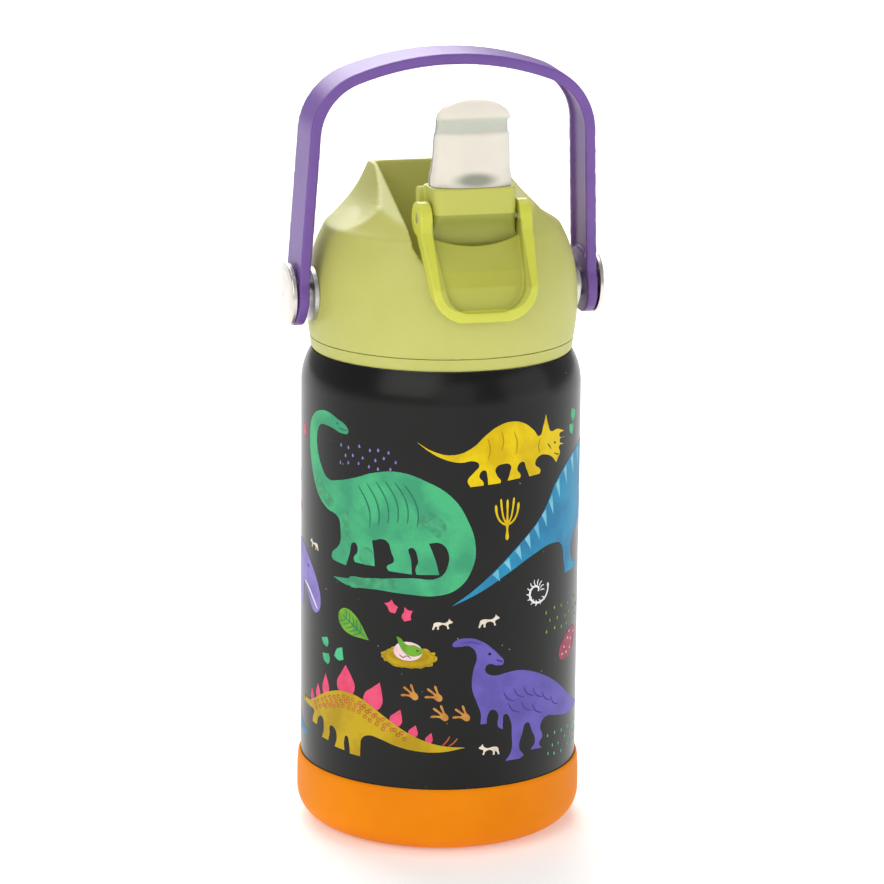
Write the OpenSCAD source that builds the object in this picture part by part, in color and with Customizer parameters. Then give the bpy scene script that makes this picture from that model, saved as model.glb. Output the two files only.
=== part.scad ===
// Kids' insulated water bottle with a flip-up spout and a loop handle.
// Millimetres, +Z up, front towards -Y. The origin is the middle of the underside.

/* [Bottle] */
// Outer diameter of the steel body
body_d = 73; // [72:0.5:74]
// Height of the body's lip, where the lid seats
lip_z = 127; // [125:0.5:129]
// Height of the silicone boot
boot_h = 17.8; // [15:0.2:22]
// How far the boot stands out from the body
boot_t = 1.3; // [1.1:0.1:1.6]

/* [Lid] */
// Largest diameter of the lid's shell
lid_d = 70.4; // [70:0.1:70.8]
// Width of the well that the spout folds into
well_w = 31.2; // [31:0.1:31.6]
// Thickness of the lid's walls
lid_wall = 2.2; // [1.8:0.1:2.4]

/* [Spout] */
// Width of the spout carrier
carrier_w = 21.8; // [21:0.1:22]
// Length of the mouthpiece above its carrier
mouth_h = 21.6; // [18:0.1:22]
// Outer diameter of the straw
straw_d = 6.4; // [5.8:0.1:6.6]

/* [Guard] */
// Width across the guard's two arms
guard_w = 29.4; // [29.2:0.1:29.8]
// Thickness of each arm
arm_t = 3.2; // [2.6:0.1:3.3]

/* [Handle] */
// Thickness of the handle strap
strap_t = 2.8; // [2.2:0.1:3]
// Width of the strap along its legs
strap_w = 14; // [12:0.5:15]
// Forward lean of the handle as it stands
handle_lean = 4.5; // [0:0.5:10]

/* [Hidden] */
$fn = 96;
e = 0.01;
fit = 0.05;

body_r = body_d / 2;
wall_t = 0.7;
// The shoulder is an arc that pulls the body in to the lip.
shoulder_r = 17;
shoulder_z = lip_z - 9;
lip_r = body_r - shoulder_r + sqrt(pow(shoulder_r, 2) - 81);
// The inner vessel: its radius, its neck and its floor.
vessel_r = body_r - 3.1;
neck_r = 30.6;
neck_z = lip_z - 17;
floor_z = 9;
thread_pitch = 4;
thread_h = 0.9;
plug_r = 28.5;

// The lid's base plate, shell and well.
flange_z = lip_z + 0.3;
shell_z = lip_z + 3.4;
lid_r = lid_d / 2;
bulge_z = shell_z + 9.6;
well_z = shell_z + 18.1;
well_back = 11;
sill_z = shell_z + 22.4;
sill_r = 7;
crest_z = shell_z + 44.2;
crest_y = 6;

// The spout and the guard share one pivot line along X.
pivot_y = -26;
pivot_z = shell_z + 35.1;
pin_r = 1.2;
flow_y = -21.3;
tube_r = 3;
carrier_top = pivot_z + 7.7;
carrier_front = pivot_y - 3.7;
carrier_back = pivot_y + 8.2;
lug_in = 5.9;
lug_out = 9.1;
eye_r = 2.2;

// The handle's pivots.
handle_z = lip_z + 15.5;
seat_x = lid_r - 0.6;
foot_x = 40.6;
bush_r = 3.5;
// The strap's corner arcs run on into the arc of its crown.
corner_x = 20.2;
corner_z = handle_z + 41.5;
corner_r = 17.7;
crown_r = corner_r + corner_x / cos(70);
crown_z = corner_z - (crown_r - corner_r) * sin(70);

// Points along an arc, from angle a0 to a1, in n steps.
function arc(c, r, a0, a1, n) =
    [for (i = [0:n]) c + r * [cos(a0 + (a1 - a0) * i / n), sin(a0 + (a1 - a0) * i / n)]];
function mirrored(pts) = [for (i = [len(pts) - 1:-1:0]) [-pts[i][0], pts[i][1]]];

// A side view (Y, Z) extruded along X, centred.
module along_x(w) rotate([90, 0, 90]) linear_extrude(height = w, center = true) children();
// A front view (X, Z) extruded along Y, centred.
module along_y(w) rotate([90, 0, 0]) linear_extrude(height = w, center = true) children();
// A cylinder along X between two places.
module rod_x(r, x0, x1, y, z) translate([x0, y, z]) rotate([0, 90, 0]) cylinder(r = r, h = x1 - x0);
// A plan rectangle with rounded corners, from y0 to y1.
module plan(w, y0, y1, r) {
    union() {
        translate([-w / 2, y0 + r]) square([w, y1 - y0 - 2 * r]);
        translate([-w / 2 + r, y0]) square([w - 2 * r, y1 - y0]);
        for (x = [-1, 1], y = [y0 + r, y1 - r]) translate([x * (w / 2 - r), y]) circle(r);
    }
}

// ---- Bottle body ----

module base_boot() color("#f5950a") {
    r_out = body_r + boot_t;
    difference() {
        rotate_extrude() polygon(concat(
            [[0, 0]],
            arc([r_out - 5.5, 5.5], 5.5, -90, 0, 12),
            arc([r_out - 2.2, boot_h - 3.4], 2.2, 0, 30, 3),
            [[body_r + 0.9, boot_h - 0.5], [body_r + 0.5, boot_h], [body_r + 0.02, boot_h]],
            arc([body_r - 4.48, 7.3], 4.5, 0, -90, 12),
            [[0, 2.8]]
        ));
        // A grip groove round the underside
        translate([0, 0, -e]) rotate_extrude() translate([24, 0]) square([2, 0.6]);
    }
}

module outer_wall() color("#262420") rotate_extrude() {
    foot_r = 4.5;
    polygon(concat(
        [[31.05, 2.82]],
        arc([body_r - foot_r, 2.82 + foot_r], foot_r, -90, 0, 12),
        arc([body_r - shoulder_r, shoulder_z], shoulder_r, 0, 32, 14),
        [[lip_r, lip_z], [lip_r - wall_t, lip_z]],
        arc([body_r - shoulder_r, shoulder_z], shoulder_r - wall_t, 31, 0, 14),
        arc([body_r - foot_r, 2.82 + foot_r], foot_r - wall_t, 0, -90, 12),
        [[31.05, 2.82 + wall_t]]
    ));
}

module inner_wall() color("#c9c9c6") {
    t = 0.7;
    rotate_extrude() polygon(concat(
        [[0, floor_z], [vessel_r - 6, floor_z]],
        arc([vessel_r - 6, floor_z + 6], 6, -90, 0, 10),
        [[vessel_r, neck_z - 4], [neck_r + t, neck_z], [neck_r + t, lip_z - t]],
        [[lip_r - wall_t - 0.03, lip_z - t], [lip_r - wall_t - 0.03, lip_z], [neck_r, lip_z]],
        [[neck_r, neck_z + 0.4], [vessel_r - t, neck_z - 3.6]],
        arc([vessel_r - 6, floor_z + 6], 6 - t, 0, -90, 10),
        [[0, floor_z + t]]
    ));
    // Thread ridges round the inside of the neck
    for (i = [0:2]) rotate_extrude() translate([neck_r + e, neck_z + 4 + i * thread_pitch])
        polygon([[0, -0.9], [-thread_h, -0.3], [-thread_h, 0.3], [0, 0.9]]);
}

module base_plate() color("#b9b9b5") rotate_extrude() polygon([
    [1, 3.7], [3.2, 3.7], [4.2, 2.85], [31, 2.85], [31, 3.55],
    [4.6, 3.55], [3.6, 4.4], [1, 4.4]
]);

module vacuum_seal() color("#7d8a8c") union() {
    translate([0, 0, 3.75]) cylinder(r = 0.98, h = 0.66);
    translate([0, 0, 4.4]) cylinder(r = 2, h = 0.6);
}

module getter() color("#8a8f93") translate([15, 0, 3.56]) cylinder(r = 4, h = 2.2);

// ---- Lid ----

module lid_gasket() color("#e6e2d8") rotate_extrude()
    translate([30.7, lip_z + 0.1]) square([2.1, 1.8]);

module lid_base() color("#b9bb62") {
    difference() {
        union() {
            // Flange, with a spigot that centres the shell
            rotate_extrude() polygon([
                [0, flange_z], [lip_r - 0.2, flange_z], [lip_r + 0.1, flange_z + 0.4],
                [lid_r - 0.9, shell_z - 0.05], [32.1, shell_z - 0.05], [32.1, shell_z + 3],
                [30.4, shell_z + 3], [30.4, shell_z - 0.05], [0, shell_z - 0.05]
            ]);
            // Plug that goes into the neck
            rotate_extrude() translate([plug_r - 2.2, neck_z + 2])
                square([2.2, flange_z - neck_z - 2 + e]);
            for (i = [0:1]) rotate_extrude()
                translate([plug_r - e, neck_z + 6 + i * thread_pitch])
                polygon([[0, -0.9], [thread_h, -0.3], [thread_h, 0.3], [0, 0.9]]);
            // Socket for the straw below, and for the spout tube above
            translate([0, flow_y, lip_z - 9]) cylinder(r = 4.6, h = 9.4);
            translate([0, flow_y, shell_z - 0.1]) cylinder(r = 4.6, h = 6);
        }
        // Groove for the gasket
        translate([0, 0, flange_z - e]) rotate_extrude() translate([30.6, 0]) square([2.3, 1.7]);
        translate([0, flow_y, lip_z - 9 - e]) cylinder(r = straw_d / 2 + 0.02, h = 9.5);
        translate([0, flow_y, lip_z]) cylinder(r = 2, h = 8);
        translate([0, flow_y, shell_z - 1.5]) cylinder(r = tube_r + 0.02, h = 10);
        // Seat of the air valve
        translate([0, 14, flange_z - 1]) cylinder(r = 1.5, h = 8);
    }
}

// Half outline (radius, height) of the domed shell, shrunk inwards by t.
function dome(t) = concat(
    arc([lid_r - 55, bulge_z], 55 - t, -10.1, 9, 12),
    arc([lid_r - 55 + 25 * cos(9), bulge_z + 25 * sin(9)], 30 - t, 9, 30, 6),
    arc([29.1 - t * 0.3, shell_z + 28 - t * 0.8], 2, 30, 57, 4),
    [[20, shell_z + 35.6 - t * 1.2], [0, shell_z + 35.6 - t * 1.2]]
);

// The hollow flares that climb from the dome to the crest, at the sides and at the rear.
side_flare = arc([37.1, shell_z + 49], 20.8, 249, 193, 14);
rear_flare = arc([39.5, shell_z + 53.6], 28.6, 237, 199, 14);

module hood() {
    side = side_flare;
    rear = rear_flare;
    low_z = shell_z + 20;
    intersection() {
        along_y(80) polygon(concat([[side[0][0], low_z]], side, mirrored(side),
            [[-side[0][0], low_z]]));
        along_x(80) polygon(concat([[rear[0][0], low_z]], rear,
            [[rear[14][0], crest_z], [crest_y, crest_z], [-20, shell_z + 33.2],
            [-34, shell_z + 26], [-34, low_z]]));
        // A gentler flare all round takes the corners off.
        rotate_extrude() polygon(concat(
            [[0, low_z], [31, low_z], [31, shell_z + 28]],
            arc([58.9, shell_z + 57.2], 40, 224, 198.8, 10),
            [[0, shell_z + 44.3]]
        ));
    }
}

module well() {
    back_r = 3.5;
    // The well itself, which keeps a low wall at the front
    intersection() {
        translate([0, 0, well_z]) linear_extrude(height = 40) plan(well_w, -40, well_back, back_r);
        union() {
            translate([0, 0, well_z - 1]) cylinder(r = 31.3, h = sill_z - well_z + 1.5);
            translate([0, 0, well_z - 1]) cylinder(r = 28, h = 60);
            // The front opening, with rounded lower corners
            along_y(120) polygon(concat(
                arc([sill_r - well_w / 2, sill_z + sill_r], sill_r, 180, 270, 8),
                arc([well_w / 2 - sill_r, sill_z + sill_r], sill_r, 270, 360, 8),
                [[well_w / 2, crest_z + 10], [-well_w / 2, crest_z + 10]]
            ));
        }
    }
}

module lid_shell() color("#bfbf67") {
    difference() {
        union() {
            difference() {
                union() {
                    rotate_extrude() polygon(concat([[0, shell_z]], dome(0)));
                    hood();
                }
                rotate_extrude() polygon(concat([[0, shell_z - 1]],
                    [[dome(lid_wall)[0][0], shell_z - 1]], dome(lid_wall)));
            }
            // Walls and floor round the well
            intersection() {
                rotate_extrude() polygon(concat([[0, shell_z]], dome(0)));
                translate([0, 0, well_z - 1.8]) linear_extrude(height = 40)
                    plan(well_w + 3.6, -45, well_back + 1.8, 5.3);
            }
            // Bosses behind the handle's pivots
            for (s = [-1, 1]) intersection() {
                rod_x(5, s > 0 ? 27 : -34.5, s > 0 ? 34.5 : -27, 0, handle_z);
                rotate_extrude() polygon(concat([[0, shell_z]], dome(1)));
            }
        }
        well();
        // Flat seats and bores for the handle's hardware
        for (s = [-1, 1]) {
            rod_x(7.6, s > 0 ? seat_x : -50, s > 0 ? 50 : -seat_x, 0, handle_z);
            rod_x(2.78, s > 0 ? 20 : -50, s > 0 ? 50 : -20, 0, handle_z);
        }
        // Passage for the spout tube, and the air inlet
        translate([0, flow_y, well_z - 5]) cylinder(r = tube_r + 0.02, h = 10);
        translate([0, 4, well_z - 5]) cylinder(r = 0.9, h = 10);
    }
    // Two lugs on the well's floor hold the pin.
    for (s = [-1, 1]) difference() {
        translate([s * (lug_in + lug_out) / 2, pivot_y, 0]) along_x(lug_out - lug_in) union() {
            translate([0, pivot_z]) circle(eye_r);
            polygon([
                [-1.9, pivot_z - 1.1], [0, pivot_z - 8.5], [-0.4, pivot_z - 12], [-1, well_z - e],
                [2.6, well_z - e], [2.2, pivot_z - 12], [2.2, pivot_z - 8.5], [2, pivot_z - 1.1]
            ]);
        }
        rod_x(pin_r + 0.01, -20, 20, pivot_y, pivot_z);
    }
}

module vent_valve() color("#f0ede4") translate([0, 14, 0]) union() {
    translate([0, 0, flange_z - 0.9]) cylinder(r = 4.2, h = 0.88);
    translate([0, 0, flange_z - 0.1]) cylinder(r = 1.48, h = 3.4);
    translate([0, 0, shell_z - 0.03]) cylinder(r = 2.2, h = 1);
}

module straw() color("#e9e6dc") translate([0, flow_y, 12.5]) difference() {
    cylinder(d = straw_d, h = lip_z - 12.55);
    translate([0, 0, -e]) cylinder(d = straw_d - 1.4, h = 200);
    // Notched foot, so that it can't seal on the floor
    translate([-5, -0.8, -e]) cube([10, 1.6, 3]);
}

module spout_tube() color("#e4ddcd") translate([0, flow_y, shell_z - 1.4]) difference() {
    cylinder(r = tube_r, h = carrier_top - shell_z + 1.3);
    translate([0, 0, -e]) cylinder(r = tube_r - 1.1, h = 60);
}

module spout_pin() color("#b8b8b4") rod_x(pin_r, -14.5, 14.5, pivot_y, pivot_z);

// ---- Handle hardware, drawn for the +X side and turned round for the other ----

module on_side(s) rotate([0, 0, s > 0 ? 0 : 180]) children();

module insert(s) color("#b8963e") on_side(s) difference() {
    rod_x(2.75, 27.5, seat_x - 0.05, 0, handle_z);
    rod_x(1.92, 27, 40, 0, handle_z);
}

module bush(s) color("#d9d4c8") on_side(s) difference() {
    union() {
        rod_x(7, seat_x + 0.01, seat_x + 1.1, 0, handle_z);
        rod_x(bush_r, seat_x + 1, foot_x + 0.15, 0, handle_z);
    }
    rod_x(1.95, 30, 50, 0, handle_z);
}

module screw(s) color("#f0e8e3") on_side(s) union() {
    rod_x(1.9, 29, foot_x + 0.3, 0, handle_z);
    translate([foot_x + 0.16, 0, handle_z]) rotate([0, 90, 0]) rotate_extrude() polygon(concat(
        [[0, 0], [8.2, 0]],
        arc([7.7, 0.7], 0.5, 0, 60, 4),
        [[6.4, 1.45], [4, 1.65], [0, 1.7]]
    ));
}

// ---- Spout ----

module spout_carrier() color("#c2c35d") difference() {
    union() {
        intersection() {
            along_x(carrier_w) polygon(concat(
                [[carrier_back, pivot_z + 0.4], [carrier_back, carrier_top],
                [carrier_front, carrier_top], [carrier_front, pivot_z + 0.4]],
                // The underside slopes in behind the guard's panel.
                [[pivot_y - 2.6, pivot_z - 3], [pivot_y - 1.85, pivot_z - 5.2],
                [pivot_y - 1.3, pivot_z - 7.7], [pivot_y + 0.4, pivot_z - 8.3]],
                arc([carrier_front + 7, pivot_z + 0.4], 7, 270, 310, 5)
            ));
            translate([0, 0, pivot_z - 12]) linear_extrude(height = 30)
                plan(carrier_w, carrier_front, carrier_back, 2.4);
        }
        // Thumb tab on the left cheek
        translate([-carrier_w / 2 - 0.95, carrier_back - 2.4, pivot_z + 1.5]) {
            translate([-0.95, -1.4, 0]) cube([1.95, 2.8, 4.4]);
            translate([0, 0, 4.4]) rod_x(1.4, -0.95, 1, 0, 0);
        }
    }
    // Slots that the lugs pass through as the spout folds
    for (s = [-1, 1]) translate([s * (lug_in + lug_out) / 2, pivot_y, pivot_z])
        along_x(lug_out - lug_in + 0.6) union() {
            circle(eye_r + 0.3);
            polygon([
                [-2.2, -1.1], [-0.3, -8.6], [-0.8, -12.3], [-1.3, -20], [20, -20], [20, 14.5],
                [9.1, 8.2], [6, 6.45], [-0.3, 2.5]
            ]);
        }
    rod_x(pin_r + fit, -20, 20, pivot_y, pivot_z);
    translate([0, flow_y, pivot_z - 20]) cylinder(r = tube_r + 0.1, h = 40);
}

module mouthpiece() color("#ebe4d3") {
    z0 = carrier_top + 0.05;
    z1 = z0 + mouth_h;
    front = carrier_front + 0.3;
    difference() {
        intersection() {
            // Front view: nearly straight sides under a domed top
            along_y(100) polygon(concat(
                [[carrier_w / 2 - 0.4, z0]],
                arc([4.9, z1 - 5.1], 4.5, 0, 62, 6),
                arc([0, z1 - 15], 15, 61, 119, 8),
                arc([-4.9, z1 - 5.1], 4.5, 118, 180, 6),
                [[-carrier_w / 2 + 0.4, z0]]
            ));
            // Side view: upright front, and a back that slopes in towards the top
            along_x(100) polygon(concat(
                [[front, z0]],
                arc([front + 2.7, z1 - 3], 3, 175, 90, 6),
                arc([front + 3, z1 - 3], 3, 90, 15, 6),
                [[carrier_back - 2.6, z0 + 8], [carrier_back - 0.5, z0 + 2.2],
                [carrier_back - 0.5, z0]]
            ));
            translate([0, 0, z0 - 1]) linear_extrude(height = 40)
                plan(carrier_w - 0.8, front - 0.6, carrier_back - 0.5, 2.9);
        }
        // Drinking channel
        translate([0, flow_y - 0.6, z0]) rotate([12, 0, 0])
            translate([0, 0, -2]) cylinder(r = 1.5, h = 40);
    }
}

// ---- Guard ----

// Front view of the tongue: half width w at the root, ending at height z with corners of r.
function tongue(w, z, r) = concat(
    [[w, pivot_z + 8], [w, pivot_z - 5]],
    arc([w - 1 - r, z + r], r, 0, -82, 10),
    mirrored(arc([w - 1 - r, z + r], r, 0, -82, 10)),
    [[-w, pivot_z - 5], [-w, pivot_z + 8]]
);

// Side view of one arm: a round root, then a taper down to the rim.
guard_low = shell_z + 10.3;
module arm_side() {
    translate([pivot_y, pivot_z]) circle(4.3);
    polygon([
        [pivot_y - 4.3, pivot_z], [pivot_y - 4.9, pivot_z - 3], [-39.2, shell_z + 19.1],
        [-39.5, shell_z + 14], [-39.4, guard_low], [-36, guard_low], [-35.9, shell_z + 15.6],
        [-31.7, shell_z + 23.1], [pivot_y - 0.5, pivot_z - 4.2]
    ]);
}

module guard() color("#ccce49") {
    inner_w = guard_w / 2 - arm_t;
    difference() {
        union() {
            difference() {
                intersection() {
                    along_y(200) polygon(tongue(guard_w / 2, guard_low, 9));
                    along_x(100) arm_side();
                }
                along_y(200) polygon(tongue(inner_w, guard_low + 2.5, 7));
            }
            // Panel between the arms, set back from the rim
            intersection() {
                along_y(200) difference() {
                    polygon(tongue(inner_w + 0.3, guard_low + 2.2, 7));
                    translate([0, pivot_z + 24.2]) circle(31);
                }
                along_x(100) polygon([
                    [-28.9, pivot_z - 4.4], [-30.5, pivot_z - 6.8], [-35.6, shell_z + 22.9],
                    [-37.3, shell_z + 19.1], [-37.4, guard_low], [-36.1, guard_low],
                    [-36, shell_z + 18.5], [-34.4, shell_z + 22.2], [-29.6, pivot_z - 7.2],
                    [-28.2, pivot_z - 4.9]
                ]);
            }
        }
        rod_x(pin_r + fit, -20, 20, pivot_y, pivot_z);
    }
}

// ---- Handle ----

// Outline of the strap from foot to foot, inset by t from its outer face.
function half_strap(t) = concat(
    [[foot_x - t, handle_z - 8.1], [corner_x + corner_r - t, corner_z]],
    arc([corner_x, corner_z], corner_r - t, 4, 70, 14),
    arc([0, crown_z], crown_r - t, 72, 88, 6)
);
function strap(t) = concat(half_strap(t), mirrored(half_strap(t)));
function reversed(pts) = [for (i = [len(pts) - 1:-1:0]) pts[i]];

module strap_band(t0, t1) along_y(30) polygon(concat(strap(t0), reversed(strap(t1))));

// Side view of the strap: a round foot, straight legs and a narrower top.
module strap_side(inset) {
    w = strap_w / 2 - inset;
    translate([0, handle_z]) circle(8 - inset);
    polygon([
        [-w, handle_z + 3], [w, handle_z + 3], [w, handle_z + 42],
        [w - 1.5, handle_z + 64], [-w + 1.5, handle_z + 64], [-w, handle_z + 42]
    ]);
}

module handle() color("#6f5093") translate([0, 0, handle_z]) rotate([handle_lean, 0, 0])
    translate([0, 0, -handle_z]) difference() {
        intersection() {
            strap_band(0, strap_t);
            along_x(100) strap_side(0);
        }
        // Shallow channel along the inner face, above the feet
        intersection() {
            strap_band(strap_t - 0.8, strap_t + 1);
            along_x(100) difference() {
                strap_side(1.8);
                translate([0, handle_z]) circle(9.5);
            }
        }
        rod_x(bush_r + 0.06, -50, 50, 0, handle_z);
    }

base_boot();
outer_wall();
inner_wall();
base_plate();
vacuum_seal();
getter();
lid_gasket();
lid_base();
lid_shell();
vent_valve();
straw();
spout_tube();
spout_pin();
insert(-1);  // insert_left
insert(1);  // insert_right
bush(-1);  // bush_left
bush(1);  // bush_right
screw(-1);  // screw_left
screw(1);  // screw_right
spout_carrier();
mouthpiece();
guard();
handle();
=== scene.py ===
# %% [markdown]
# # An insulated bottle for a child, piece by piece
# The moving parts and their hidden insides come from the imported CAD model. This lesson adds what
# the eye sees: soft moulded edges, powder coat, silicone, polished caps and printed pictures.
# The model is in metres, with +Z up the bottle and the spout towards -Y. Sizes are written in
# millimetres, and MM turns them to metres.

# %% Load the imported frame
import math
import random

import bpy
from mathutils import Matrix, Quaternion, Vector


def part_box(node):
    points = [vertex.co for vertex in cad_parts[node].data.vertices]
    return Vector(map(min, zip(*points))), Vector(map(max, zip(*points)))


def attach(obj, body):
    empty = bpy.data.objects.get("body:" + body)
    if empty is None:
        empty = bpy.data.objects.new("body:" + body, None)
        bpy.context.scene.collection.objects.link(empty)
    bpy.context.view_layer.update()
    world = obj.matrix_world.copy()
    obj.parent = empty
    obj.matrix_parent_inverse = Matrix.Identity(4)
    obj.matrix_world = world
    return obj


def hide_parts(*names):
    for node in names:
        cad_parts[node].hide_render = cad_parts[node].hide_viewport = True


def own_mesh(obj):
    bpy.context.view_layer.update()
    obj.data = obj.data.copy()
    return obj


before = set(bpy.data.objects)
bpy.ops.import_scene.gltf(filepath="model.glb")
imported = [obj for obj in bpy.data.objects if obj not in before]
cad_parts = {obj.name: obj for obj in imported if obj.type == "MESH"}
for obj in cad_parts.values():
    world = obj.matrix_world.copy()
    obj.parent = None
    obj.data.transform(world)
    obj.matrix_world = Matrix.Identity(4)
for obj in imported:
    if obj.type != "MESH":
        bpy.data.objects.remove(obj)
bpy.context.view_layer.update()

MM = 0.001

# %% [markdown]
# ## The camera and a plain studio
# The camera stands a metre away, a little to the left and above. A long lens keeps the sides of the
# bottle almost parallel. Big soft lights and a pale floor give the plastic its broad highlights.

# %% Camera
TARGET, AWAY = Vector((0, 0, 101.8 * MM)), 970
RISE, TURN, ROLL = math.radians(13.2), math.radians(-16.5), math.radians(0.55)
back = Vector((math.sin(TURN) * math.cos(RISE), -math.cos(TURN) * math.cos(RISE), math.sin(RISE)))
bpy.ops.object.camera_add(location=TARGET + back * AWAY * MM)
camera = bpy.context.object
camera.name = "camera"
camera.rotation_mode = "QUATERNION"
camera.rotation_quaternion = Quaternion(back, ROLL) @ back.to_track_quat("Z", "Y")
camera.data.sensor_width = 36
camera.data.lens = 150.7
camera.data.shift_x = 0.0017
camera.data.shift_y = -0.0023
bpy.context.scene.camera = camera
bpy.context.scene.view_settings.view_transform = "Standard"
print("camera at", [round(v, 3) for v in camera.location])

# %% Lights
for title, place, size, power, tint in [
    ("key_softbox", (-0.75, -0.75, 0.75), 1.0, 5.6, (1, 0.985, 0.96)),
    ("fill_softbox", (0.95, -0.55, 0.35), 0.9, 2.4, (0.97, 0.985, 1)),
    ("front_softbox", (-0.1, -1.15, 0.45), 0.7, 1.2, (1, 1, 1)),
    ("top_softbox", (0.1, 0.15, 1.1), 0.7, 2.5, (1, 1, 1)),
    ("rear_softbox", (0.35, 1.3, 1.5), 1.0, 5, (1, 1, 1)),
    ("sweep_light", (0, 4.5, 3.6), 4.0, 240, (1, 1, 1)),
]:
    bpy.ops.object.light_add(type="AREA", location=place)
    lamp = bpy.context.object
    lamp.name = title
    lamp.data.size = size
    lamp.data.energy = power
    lamp.data.color = tint
    lamp.rotation_euler = (Vector(place) - TARGET).to_track_quat("Z", "Y").to_euler()
    print(title, power, "W")

# %% [markdown]
# ## Finishes
# Each finish starts from what the real one is. Colours are written as the sRGB values a painter
# would pick, and one function turns them to the linear light that the shader works in. Patterns use
# Object coordinates, so a pattern's scale is one over its real size.

# %% Helpers for finishes
def linear(hex_code):
    """An sRGB colour such as '#bfbf67' as linear RGBA."""
    parts = [int(hex_code[i:i + 2], 16) / 255 for i in (1, 3, 5)]
    return [p / 12.92 if p <= 0.04045 else ((p + 0.055) / 1.055) ** 2.4 for p in parts] + [1]


def per(size_mm):
    """A pattern scale whose features are about this many millimetres across."""
    return 1 / (size_mm * MM)


def add(tree, kind, links=(), **settings):
    """One shader node. A setting is a property of the node, or one of its sockets by name."""
    made = tree.nodes.new(kind)
    for key, value in settings.items():
        if hasattr(made, key):
            setattr(made, key, value)
        else:
            made.inputs[key.replace("_", " ")].default_value = value
    for socket, source in links:
        tree.links.new(source, made.inputs[socket])
    return made


def new_finish(name):
    """An empty material, its node tree and the object's own coordinates."""
    finish = bpy.data.materials.new(name)
    finish.use_nodes = True
    finish.node_tree.nodes.clear()
    place = add(finish.node_tree, "ShaderNodeTexCoord").outputs["Object"]
    return finish, finish.node_tree, place


def two_tones(tree, place, light, dark, size_mm, low=0.35, high=0.65):
    """A slow drift between two close colours, as pigment and wear give."""
    cloud = add(tree, "ShaderNodeTexNoise", [("Vector", place)], Scale=per(size_mm), Detail=4)
    edge = add(tree, "ShaderNodeMapRange", [("Value", cloud.outputs["Fac"])],
               From_Min=low, From_Max=high)
    mix = add(tree, "ShaderNodeMix", [("Factor", edge.outputs["Result"])], data_type="RGBA")
    mix.inputs[6].default_value = linear(light)
    mix.inputs[7].default_value = linear(dark)
    return mix.outputs[2]


def grain(tree, place, size_mm, depth_mm, strength=0.5, detail=2):
    """Bump from a fine noise of this size and depth."""
    noise = add(tree, "ShaderNodeTexNoise", [("Vector", place)], Scale=per(size_mm), Detail=detail)
    return add(tree, "ShaderNodeBump", [("Height", noise.outputs["Fac"])],
               Strength=strength, Distance=depth_mm * MM).outputs["Normal"]


def shader(tree, links=(), **settings):
    """The Principled shader, joined to the output."""
    made = add(tree, "ShaderNodeBsdfPrincipled", links, **settings)
    add(tree, "ShaderNodeOutputMaterial", [("Surface", made.outputs["BSDF"])])
    return made

# %% [markdown]
# ### Moulded polypropylene
# The lid, spout carrier, guard and handle are injection moulded. A spark-eroded mould gives the lid
# and carrier a fine matt grain; the guard and the handle come from a smoother, shinier mould.

# %% Polypropylene finishes
def polypropylene(name, light, dark, rough, depth_mm, glow=0.0):
    finish, tree, place = new_finish(name)
    shader(tree, [("Base Color", two_tones(tree, place, light, dark, 22)),
                  ("Normal", grain(tree, place, 0.35, depth_mm))],
           Roughness=rough, IOR=1.49, Subsurface_Weight=glow, Subsurface_Scale=1.2 * MM)
    print(name, light, "roughness", rough)
    return finish


lid_green = polypropylene("matt_moulded_polypropylene_lime", "#c3c36a", "#bcbd62", 0.44, 0.02, 0.08)
carrier_green = polypropylene("matt_moulded_polypropylene_lime_carrier", "#c2c35a", "#babb54",
                              0.42, 0.015)
guard_green = polypropylene("shiny_moulded_polypropylene_lime", "#cfd14c", "#c8ca48", 0.3, 0.008)
strap_purple = polypropylene("shiny_moulded_polypropylene_purple", "#74509f", "#6a4896",
                             0.4, 0.012, 0.1)

# %% [markdown]
# ### Powder coat
# The steel wears black powder, sprayed dry and baked. It flows into a skin with a faint orange peel
# about a millimetre across, and a soft gloss. A few pale specks are part of the print.

# %% Powder coat finish
powder_black, tree, place = new_finish("black_powder_coat")
dots = add(tree, "ShaderNodeTexVoronoi", [("Vector", place)], Scale=per(5.5), Randomness=1)
near = add(tree, "ShaderNodeMath", [(0, dots.outputs["Distance"])], operation="LESS_THAN")
near.inputs[1].default_value = 0.03
colour = add(tree, "ShaderNodeMix", [("Factor", near.outputs[0]),
             (6, two_tones(tree, place, "#141413", "#0f0f0f", 30))], data_type="RGBA")
colour.inputs[7].default_value = linear("#8f8c88")
shader(tree, [("Base Color", colour.outputs[2]), ("Normal", grain(tree, place, 1.1, 0.03, 0.25))],
       Roughness=0.25, IOR=1.5, Specular_IOR_Level=0.24)
print("powder coat ready")

# %% [markdown]
# ### Silicone
# The boot is orange silicone rubber, dense and matt. The mouthpiece, stem and seals are clear
# silicone that scatters light inside, so they look milky.

# %% Silicone finishes
boot_orange, tree, place = new_finish("matt_silicone_rubber_orange")
shader(tree, [("Base Color", two_tones(tree, place, "#f28c02", "#ea8400", 26)),
              ("Normal", grain(tree, place, 0.5, 0.03, 0.4))],
       Roughness=0.55, IOR=1.41, Specular_IOR_Level=0.15, Subsurface_Weight=0.1,
       Subsurface_Scale=1.5 * MM)


def milky(name, colour_of):
    finish, tree, place = new_finish(name)
    made = shader(tree, [("Base Color", colour_of(tree, place)),
                         ("Normal", grain(tree, place, 1.5, 0.01, 0.2))],
                  Roughness=0.3, IOR=1.41, Subsurface_Weight=0.6, Subsurface_Scale=2 * MM,
                  Transmission_Weight=0.1)
    made.inputs["Subsurface Radius"].default_value = (1, 0.9, 0.75)
    return finish


milky_silicone = milky("milky_silicone_rubber",
                       lambda tree, place: two_tones(tree, place, "#efeae0", "#e9e3d7", 9))

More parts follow.
